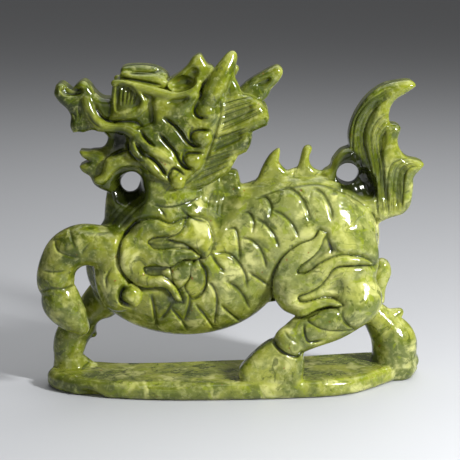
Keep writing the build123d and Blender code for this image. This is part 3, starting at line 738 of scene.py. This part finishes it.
# tail brush
brush.comb([(50.6, 95), (49.9, 98), (49.6, 102), (50, 107), (51.5, 113), (56, 119), (63, 123.8)],
    [(60.5, 80), (58.8, 88), (56.8, 95), (54.6, 104), (56.4, 112), (60.4, 117.6), (64.5, 120.5)], 9, 0.6,
    0.9)
brush.comb([(60.5, 73), (59.3, 84), (58.8, 93), (57.2, 101.8), (57.2, 107), (59.5, 111.5), (62.5, 113.8)],
    [(65.5, 73.5), (64.2, 84), (63.4, 93), (62.3, 99), (62.2, 103), (63.3, 106.3), (65.5, 108.8)], 7, 0.65,
    0.9)
brush.comb([(65, 72.5), (64, 84), (65.2, 92.5), (68.5, 95.3), (73, 96)], [(71, 74.5), (71.5, 83), (72, 89),
    (74, 91.7), (77.5, 92.5)], 9, 0.6, 0.85)
brush.sunk([(56, 78), (51, 90), (49.5, 103), (51.5, 112), (57, 119.5), (61, 120.5), (60, 113), (57, 106),
    (57.5, 98), (60, 88), (62, 79)], 1.1, 3)
brush.sunk([(61.5, 79), (58.8, 92), (58, 100), (60, 106), (64, 107.5), (64.5, 102), (63, 95), (64.5, 86),
    (66, 78)], 1.0, 2.2)
brush.sunk([(67, 76.5), (65.5, 88), (68, 92.5), (72.5, 93.5), (73, 90), (71.5, 84), (71.5, 77)], 1.0, 2.2)
brush.shade([(42, 84), (44, 96), (50, 101), (56, 96), (59, 90), (62, 81), (58, 78)], 1.0, 6)
brush.shade([(47, 97), (47.5, 105), (50, 113.5), (56, 121), (61, 119.5), (58.5, 108), (61, 95), (66, 82),
    (61, 77), (54, 84)], 0.68, 3)
brush.shade([(66, 110), (61, 114), (52, 110), (50, 98), (54, 84), (61, 74), (72, 74), (73, 84), (72, 91),
    (66, 96), (65, 103)], 0.35, 4)
head.shade([(-59, 124.5), (-55, 120.5), (-50, 119.5), (-47.3, 121), (-46.5, 113), (-52, 112.5), (-56, 117)],
    0.45, 3)
head.shade([(-3, 120), (6, 120), (9, 116), (4, 110), (-4, 107), (-7, 99), (-12, 90), (-14, 87), (-5, 92),
    (3, 101), (0, 104)], 0.25, 3)
head.shade([(-52.5, 87), (-49.5, 88.3), (-46.4, 91.5), (-42, 93), (-37, 92), (-33.5, 88), (-34, 83),
    (-40, 79), (-48, 80), (-51.5, 83.5)], 0.85, 2.5)
head.shade([(-25, 128.5), (-20, 131.5), (-15, 135.5), (-12, 133.5), (-13.5, 130.5), (-17, 128.3),
    (-22, 128)], 0.5, 2.5)
head.shade([(-52.5, 124), (-48, 123), (-46.8, 116), (-50, 114.6), (-52.3, 118)], 0.85, 2.5)
head.shade([(-37.2, 103), (-34, 103.4), (-32.5, 100), (-34, 96.5), (-37, 97.5)], 0.8, 2)
head.shade([(-51, 109), (-42, 108.5), (-40.5, 103), (-44, 99.5), (-50, 97.5), (-57, 98), (-57, 100.5),
    (-50, 103)], 0.55, 3)
head.shade([(-47, 109), (-42, 108.8), (-40.8, 104), (-44, 100), (-48, 101)], 0.95, 4)
flank.shade([(43, 87), (47, 97), (56, 95), (62, 84), (61, 79), (54, 81.5), (48, 84.5)], 1.0, 4)
flank.shade([(-50, 92), (-40, 96), (-32, 90), (-34, 79), (-43, 70), (-49, 68), (-49, 80)], 0.85, 6)
flank.shade([(-49, 84), (-47, 92), (-41, 96.5), (-34, 92), (-34, 84), (-40, 79), (-46, 79)], 1.0, 5)

# which drawings each region takes, and the plane in which they are mirrored for its right-hand half
TAKES = {"tail": ((brush,), TAIL_MID)}
for name in ("left_foreleg", "left_fore_hoof"):
    TAKES[name] = ((foreleg, flank), NOT_MIRRORED)
for name in ("skull", "snout", "left_eye", "right_eye", "brow_horn", "mane", "mane_crest", "lower_jaw",
             "left_whisker", "right_whisker", "left_ear", "right_ear", "left_horn", "right_horn"):
    TAKES[name] = ((head,), HEAD_MID)
for name in ("trunk", "neck", "throat_beard", "left_shoulder", "right_shoulder", "left_haunch",
             "right_haunch", "left_hind_shank", "left_hind_hoof", "left_elbow_curl"):
    TAKES[name] = ((flank,), FLANK_MID)
FLAMES = {"_shoulder_flame": shoulder_flame, "_hip_flame": hip_flame}
FLAME_NAMES = [side + part for side in SIDES for part in FLAMES]
names += FLAME_NAMES

# The relief reaches this far into the stone, and fades out where the surface turns away from the side view.
# Where it still faces that way enough, what lies under a flame's outline belongs to the flame.
RELIEF_REACH = 4.5
TURNED_AWAY = 0.12
FADE = 0.28
FLAME_FACING = 0.3


def drawn_at(points, mid):
    """The points' x, y and z, with those beyond the plane y=mid mirrored in it."""
    x, y, z = points.T
    return x, np.where(y > mid, 2 * mid - y, y), z


shell = np.abs(stone) < RELIEF_REACH
at = LOW + VOXEL * np.argwhere(shell)
grad = np.stack([g[shell] for g in np.gradient(stone, VOXEL)], 1)
facing = np.abs(grad[:, 1]) / (np.linalg.norm(grad, axis=1) + 1e-6)
facing = eased(np.clip((facing - TURNED_AWAY) / FADE, 0, 1))
label = owner[shell]
smooth_stone = stone.copy()
pressed = np.zeros(len(at), np.float32)
for name, (drawings, mid) in TAKES.items():
    mine = np.flatnonzero(label == names.index(name))
    x, y, z = drawn_at(at[mine], mid)
    pressed[mine] = sum(drawing.depth(x, y, z) for drawing in drawings)
    if flank in drawings and name != "left_hind_hoof":
        u, v = flank.place(x, y, z)
        for part, ring in FLAMES.items():
            covered = inside_outline(u, v, outline(ring)) & (facing[mine] > FLAME_FACING)
            for side, chosen in zip(SIDES, (at[mine, 1] < mid, at[mine, 1] > mid)):
                label[mine[covered & chosen]] = names.index(side + part)
stone[shell] += pressed * facing
owner[shell] = label
for name in FLAME_NAMES:
    TAKES[name] = ((flank,), FLANK_MID)

# ---- from the field to meshes

def sample(points, field=stone):
    """The field's value at points, between its voxels."""
    g = (points - LOW) / VOXEL
    i = np.clip(np.floor(g).astype(int), 0, COUNTS - 2)
    f = (g - i).astype(np.float32)
    total = 0
    for corner in range(8):
        o = np.array([corner & 1, corner >> 1 & 1, corner >> 2 & 1])
        weight = np.prod(np.where(o, f, 1 - f), axis=1)
        total = total + weight * field[tuple((i + o).T)]
    return total


def slope(points):
    """The direction in which the field rises at points, and how steeply."""
    h = VOXEL * 0.75
    g = np.stack([sample(points + h * axis) - sample(points - h * axis) for axis in np.eye(3)], 1)
    steep = np.linalg.norm(g, axis=1)
    return g / (steep[:, None] + TINY), steep / (2 * h)


def surface():
    """Vertices, quads, each quad's owner, and whether it faces the air or another region."""
    state = np.where(stone < 0, owner, 0).astype(np.uint8)
    change = [np.diff(state, axis=k) != 0 for k in range(3)]
    cells = np.array(state.shape) - 1
    active = np.zeros(cells, bool)
    for k in range(3):
        a, b = [i for i in range(3) if i != k]
        for da in (0, 1):
            for db in (0, 1):
                cut = [slice(None)] * 3
                cut[a] = slice(da, da + cells[a])
                cut[b] = slice(db, db + cells[b])
                active |= change[k][tuple(cut)]
    number = np.full(cells, -1, np.int32)
    where = np.argwhere(active)
    number[active] = np.arange(len(where))
    corners = np.array([[i, j, k] for i in (0, 1) for j in (0, 1) for k in (0, 1)])
    near = where[:, None, :] + corners[None]
    values = stone[near[..., 0], near[..., 1], near[..., 2]]
    states = state[near[..., 0], near[..., 1], near[..., 2]]
    air, air_count = np.zeros((len(where), 3)), np.zeros(len(where))
    joint, joint_count = np.zeros((len(where), 3)), np.zeros(len(where))
    for p in range(8):
        for q in range(p + 1, 8):
            if np.abs(corners[p] - corners[q]).sum() != 1:
                continue
            skin = (states[:, p] == 0) != (states[:, q] == 0)
            gap = np.where(skin, values[:, p] - values[:, q], 1)
            t = np.where(skin, values[:, p] / gap, 0)
            air += np.where(skin[:, None], corners[p] + t[:, None] * (corners[q] - corners[p]), 0)
            air_count += skin
            seam = (states[:, p] != states[:, q]) & ~skin
            joint += np.where(seam[:, None], (corners[p] + corners[q]) / 2, 0)
            joint_count += seam
    on_air = air_count > 0
    place = np.where(on_air[:, None], air / np.maximum(air_count, 1)[:, None],
                     joint / np.maximum(joint_count, 1)[:, None])
    points = LOW + VOXEL * (where + place)
    quads, owners, outer = [], [], []
    for k in range(3):
        a, b = (k + 1) % 3, (k + 2) % 3
        edge = np.argwhere(change[k])
        edge = edge[(edge[:, a] > 0) & (edge[:, b] > 0) & (edge[:, a] < cells[a]) & (edge[:, b] < cells[b])]
        step_a, step_b = np.eye(3, dtype=int)[a], np.eye(3, dtype=int)[b]
        ring = [number[tuple((edge - o).T)] for o in (step_a + step_b, step_b, 0 * step_a, step_a)]
        ring = np.stack(ring, 1)
        low = state[tuple(edge.T)]
        high = state[tuple((edge + np.eye(3, dtype=int)[k]).T)]
        bare = (low == 0) | (high == 0)
        for mine, turned_ring in ((low, ring), (high, ring[:, ::-1])):
            quads.append(turned_ring[mine > 0])
            owners.append(mine[mine > 0])
            outer.append(bare[mine > 0])
    return points, np.vstack(quads), np.concatenate(owners), np.concatenate(outer)


def smoothed(points, quads, amount):
    """Each point moved towards the average of the points it shares an edge with."""
    total, count = np.zeros_like(points), np.zeros(len(points))
    for a, b in ((0, 1), (1, 2), (2, 3), (3, 0)):
        for i, j in ((quads[:, a], quads[:, b]), (quads[:, b], quads[:, a])):
            for k in range(3):
                total[:, k] += np.bincount(i, points[j, k], len(points))
            count += np.bincount(i, minlength=len(points))
    used = count > 0
    out = points.copy()
    out[used] += amount * (total[used] / count[used, None] - points[used])
    return out


def point_normals(points, quads):
    """Normals of the points, from the quads around them."""
    a, b, c, d = (points[quads[:, i]] for i in range(4))
    n = np.cross(c - a, d - b)
    total = np.zeros_like(points)
    for i in range(4):
        for k in range(3):
            total[:, k] += np.bincount(quads[:, i], n[:, k], len(points))
    return total / (np.linalg.norm(total, axis=1, keepdims=True) + TINY)


points, quads, owners, outer = surface()
skin_quads = quads[outer]
skin = np.unique(skin_quads)
# The skin is evened out and put back on the field's surface, by no more than this many millimetres a time
STEP_BACK = 0.4
for repeat in range(3):
    moved = smoothed(points, skin_quads, 0.6)[skin]
    for newton in range(2):
        direction, steep = slope(moved)
        off = np.clip(sample(moved) / np.maximum(steep, 0.35), -STEP_BACK, STEP_BACK)
        moved = moved - direction * off[:, None]
    points[skin] = moved
normals = point_normals(points, skin_quads)

# How hollow each point is: how far it lies under the smooth stone, and under a narrow and a broad average
# of the surface around it, with the drawn painted shade on top; the colour is painted dark by it in hollows
UNDER_SMOOTH, UNDER_NARROW, UNDER_BROAD = 0.35, 1.3, 0.22
plain = points.copy()
for repeat in range(6):
    plain = smoothed(plain, skin_quads, 0.8)
narrow = np.sum((plain - points) * normals, 1)
for repeat in range(24):
    plain = smoothed(plain, skin_quads, 0.9)
broad = np.sum((plain - points) * normals, 1)
cavity = UNDER_SMOOTH * np.maximum(-sample(points, smooth_stone),
    0) + UNDER_NARROW * narrow + UNDER_BROAD * broad
cavity = np.clip(cavity, -1, 1)
side_on = np.clip((np.abs(normals[:, 1]) - 0.1) / 0.25, 0, 1)
# the painted shade drawn in the side view, read onto each region's points
painted_shade = np.zeros(len(points))
for name, (drawings, mid) in TAKES.items():
    mine = np.unique(skin_quads[owners[outer] == names.index(name)])
    # in the hollows of these regions the shading also covers what faces away from the side
    shown = 1 if name in ("tail", "lower_jaw", "throat_beard", "neck") else side_on[mine]
    for drawing in drawings:
        dark = drawing.painted_shade.read(*drawing.place(*drawn_at(points[mine], mid)))
        painted_shade[mine] = np.maximum(painted_shade[mine], shown * dark)
cavity = np.maximum(cavity, painted_shade)

# How thin the stone is, from the field a little way inside; it sets the painted glow of light shining
# through thin stone
INSIDE, THICK = 3.5, 3.0
thinness = np.clip(1 + sample(points - INSIDE * normals) / THICK, 0, 1)

points[:, 2] = np.maximum(points[:, 2], 0)


def piece(name, label, material):
    """One region's closed mesh, standing for its CAD node, with the whole surface's normals."""
    mine = owners == label
    used, corners = np.unique(quads[mine], return_inverse=True)
    corners = corners.reshape(-1, 4)
    mesh = bpy.data.meshes.new("carved_" + name)
    mesh.vertices.add(len(used))
    mesh.vertices.foreach_set("co", (points[used] * MM).astype(np.float32).ravel())
    mesh.loops.add(corners.size)
    mesh.loops.foreach_set("vertex_index", corners.astype(np.int32).ravel())
    mesh.polygons.add(len(corners))
    mesh.polygons.foreach_set("loop_start", np.arange(0, corners.size, 4, dtype=np.int32))
    mesh.update(calc_edges=True)
    mesh.polygons.foreach_set("use_smooth", np.ones(len(corners), bool))
    for attribute, values in (("hollow", cavity), ("thin", thinness)):
        layer = mesh.attributes.new(attribute, "FLOAT", "POINT")
        layer.data.foreach_set("value", values[used].astype(np.float32))
    mesh.normals_split_custom_set_from_vertices(normals[used].tolist())
    obj = bpy.data.objects.new("carved_" + name, mesh)
    bpy.context.scene.collection.objects.link(obj)
    mesh.materials.append(material)
    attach(obj, "root")
    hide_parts(name)


# ---- the stone's look

def jade():
    """Polished yellow-green stone: darker clouds, paler patches, fine veins and a few rusty specks, with
    painted light and shade in its colour.
    """
    material = bpy.data.materials.new("jade")
    material.use_nodes = True
    nodes, links = material.node_tree.nodes, material.node_tree.links

    def node(kind, inputs, **settings):
        """A new node; each of its inputs is a value or another node's output."""
        made = nodes.new("ShaderNode" + kind)
        for setting, value in settings.items():
            setattr(made, setting, value)
        for socket, value in inputs.items():
            if isinstance(value, bpy.types.NodeSocket):
                links.new(value, made.inputs[socket])
            else:
                made.inputs[socket].default_value = value
        return made.outputs

    place = node("TexCoord", {})["Object"]

    def noise(scale, detail, rough, warp, shift):
        moved = node("Mapping", {"Vector": place, "Location": (shift, 0.3 * shift, -shift)})["Vector"]
        return node("TexNoise", {"Vector": moved, "Scale": scale, "Detail": detail, "Roughness": rough,
                                 "Distortion": warp})["Fac"]

    def spread(value, low, high):
        """Runs smoothly from 0 where the value is low to 1 where it is high."""
        inputs = {"Value": value, "From Min": low, "From Max": high}
        return node("MapRange", inputs, interpolation_type="SMOOTHSTEP")["Result"]

    def scaled(value, factor):
        return node("Math", {0: value, 1: factor}, operation="MULTIPLY")["Value"]

    def vein(value, half):
        """Thin lines where the value passes through its middle."""
        return node("Math", {0: value, 1: 0.5, 2: half}, operation="COMPARE")["Value"]

    def mixed(fac, under, over, blend_type="MIX"):
        """One colour over another; each is a colour or a node's output."""
        a, b = ((*c, 1) if isinstance(c, tuple) else c for c in (under, over))
        inputs = {"Factor": fac, "A": a, "B": b}
        return node("Mix", inputs, data_type="RGBA", blend_type=blend_type)["Result"]

    # clouds of olive and pale stone; paler stone and painted light over the haunch and flank, and painted
    # light bounced from the floor low down, near the plinth
    colour = mixed(spread(noise(70, 2, 0.5, 0.3, 0.1), 0.4, 0.6), (0.076, 0.1, 0.008),
        (0.265, 0.285, 0.032))
    middle_of_haunch = (0.036, 0, 0.062)
    away = node("VectorMath", {0: place, 1: middle_of_haunch}, operation="DISTANCE")["Value"]
    colour = mixed(scaled(spread(scaled(away, -1), -0.058, -0.02), 0.38), colour, (0.45, 0.47, 0.16))
    along = node("SeparateXYZ", {"Vector": place})
    colour = mixed(scaled(spread(scaled(along["Z"], -1), -0.06, -0.02), 0.1), colour, (0.42, 0.45, 0.15))

    # pale and greyish patches, sharper green patches, dark wisps
    for texture, low, high, strength, over in (
            ((95, 3, 0.6, 0.5, 0.7), 0.5, 0.66, 0.8, (0.56, 0.56, 0.2)),
            ((78, 3, 0.5, 0.4, 1.9), 0.53, 0.66, 0.65, (0.075, 0.105, 0.014)),
            ((170, 4, 0.6, 0.8, 3.1), 0.565, 0.6, 0.6, (0.2, 0.25, 0.006)),
            ((140, 4, 0.6, 1.2, 4.3), 0.57, 0.66, 0.7, (0.04, 0.058, 0.003))):
        colour = mixed(scaled(spread(noise(*texture), low, high), strength), colour, over)

    # painted shade high up over the head and tail, and over the left end with the raised foreleg and the
    # plinth's end; darker stone in broad clouds
    colour = mixed(spread(along["Z"], 0.075, 0.1), colour, (0.68, 0.71, 0.44), "MULTIPLY")
    colour = mixed(spread(scaled(along["X"], -1), 0.035, 0.065), colour, (0.74, 0.76, 0.58), "MULTIPLY")
    clouds = scaled(spread(noise(55, 3, 0.6, 0.4, 12.0), 0.5, 0.62), 0.45)
    colour = mixed(clouds, colour, (0.45, 0.52, 0.3), "MULTIPLY")

    # pale and dark grain, veins, rusty specks
    grain = scaled(spread(noise(420, 3, 0.6, 0.0, 5.0), 0.5, 0.68), 0.3)
    colour = mixed(grain, colour, (0.5, 0.51, 0.2))
    grain = scaled(spread(noise(380, 3, 0.6, 0.0, 6.0), 0.52, 0.68), 0.3)
    colour = mixed(grain, colour, (0.05, 0.07, 0.004))
    colour = mixed(scaled(vein(noise(60, 2, 0.5, 0.3, 8.3), 0.007), 0.3), colour, (0.07, 0.105, 0.006))
    specks = scaled(spread(noise(420, 1, 0.5, 0.0, 7.7), 0.75, 0.79), 0.7)
    colour = mixed(specks, colour, (0.2, 0.06, 0.006))

    # painted light glowing through where the stone is thin, painted shade in hollows, darkest in the
    # deepest, and pale on ridges
    thin = node("Attribute", {}, attribute_name="thin")["Fac"]
    colour = mixed(scaled(thin, 0.5), colour, (0.28, 0.31, 0.03))
    hollow = node("Attribute", {}, attribute_name="hollow")["Fac"]
    colour = mixed(scaled(spread(hollow, 0.05, 0.85), 0.85), colour, (0.03, 0.044, 0.001))
    colour = mixed(scaled(spread(hollow, 0.75, 1.0), 0.9), colour, (0.004, 0.006, 0.001))
    colour = mixed(scaled(spread(scaled(hollow, -1), 0.1, 0.8), 0.5), colour, (0.45, 0.48, 0.1))

    shader = nodes["Principled BSDF"]
    links.new(colour, shader.inputs["Base Color"])
    shader.inputs["Roughness"].default_value = 0.13
    shader.inputs["IOR"].default_value = 1.5
    ripple = node("Bump", {"Strength": 0.5, "Distance": 0.0006, "Height": noise(240, 3, 0.5, 0.2, 2.0)})
    links.new(ripple["Normal"], shader.inputs["Normal"])
    return material


# ---- pieces

stone_material = jade()
for label, name in enumerate(names):
    if name:
        piece(name, label, stone_material)

# ---- floor, lights and camera

def area_light(name, place, aim, size, power):
    data = bpy.data.lights.new(name, "AREA")
    data.shape = "RECTANGLE"
    data.size, data.size_y = size
    data.energy = power
    obj = bpy.data.objects.new(name, data)
    obj.location = place
    obj.rotation_euler = (Vector(aim) - Vector(place)).to_track_quat("-Z", "Y").to_euler()
    bpy.context.scene.collection.objects.link(obj)


floor_mesh = bpy.data.meshes.new("floor")
floor_mesh.from_pydata([(-4, -4, 0), (4, -4, 0), (4, 4, 0), (-4, 4, 0)], [], [(0, 1, 2, 3)])
floor = bpy.data.objects.new("floor", floor_mesh)
bpy.context.scene.collection.objects.link(floor)
floor_material = bpy.data.materials.new("floor")
floor_material.use_nodes = True
floor_shader = floor_material.node_tree.nodes["Principled BSDF"]
floor_shader.inputs["Base Color"].default_value = (0.49, 0.5, 0.52, 1)
floor_shader.inputs["Roughness"].default_value = 0.55
floor_mesh.materials.append(floor_material)

area_light("key", (0.38, -0.3, 0.34), aim=(0.02, 0, 0.06), size=(0.05, 0.11), power=4.9)
area_light("fill", (-0.25, -0.85, 0.4), aim=(0, 0, 0.06), size=(0.7, 0.7), power=1.0)
area_light("top", (0.15, 0.15, 0.75), aim=(0, 0, 0.08), size=(1.0, 1.0), power=5.2)

world = bpy.data.worlds.new("studio")
bpy.context.scene.world = world
world.use_nodes = True
background = world.node_tree.nodes["Background"]
background.inputs["Color"].default_value = (0.5, 0.5, 0.5, 1)
background.inputs["Strength"].default_value = 0.24

camera_data = bpy.data.cameras.new("camera")
camera_data.lens = 132.8
camera_data.sensor_width = 36
camera = bpy.data.objects.new("camera", camera_data)
camera.location = (0, EYE_Y * MM, EYE_Z * MM)
camera.rotation_euler = (Vector(TARGET) * MM - camera.location).to_track_quat("-Z", "Y").to_euler()
bpy.context.scene.collection.objects.link(camera)
bpy.context.scene.camera = camera

bpy.context.scene.view_settings.view_transform = "Standard"
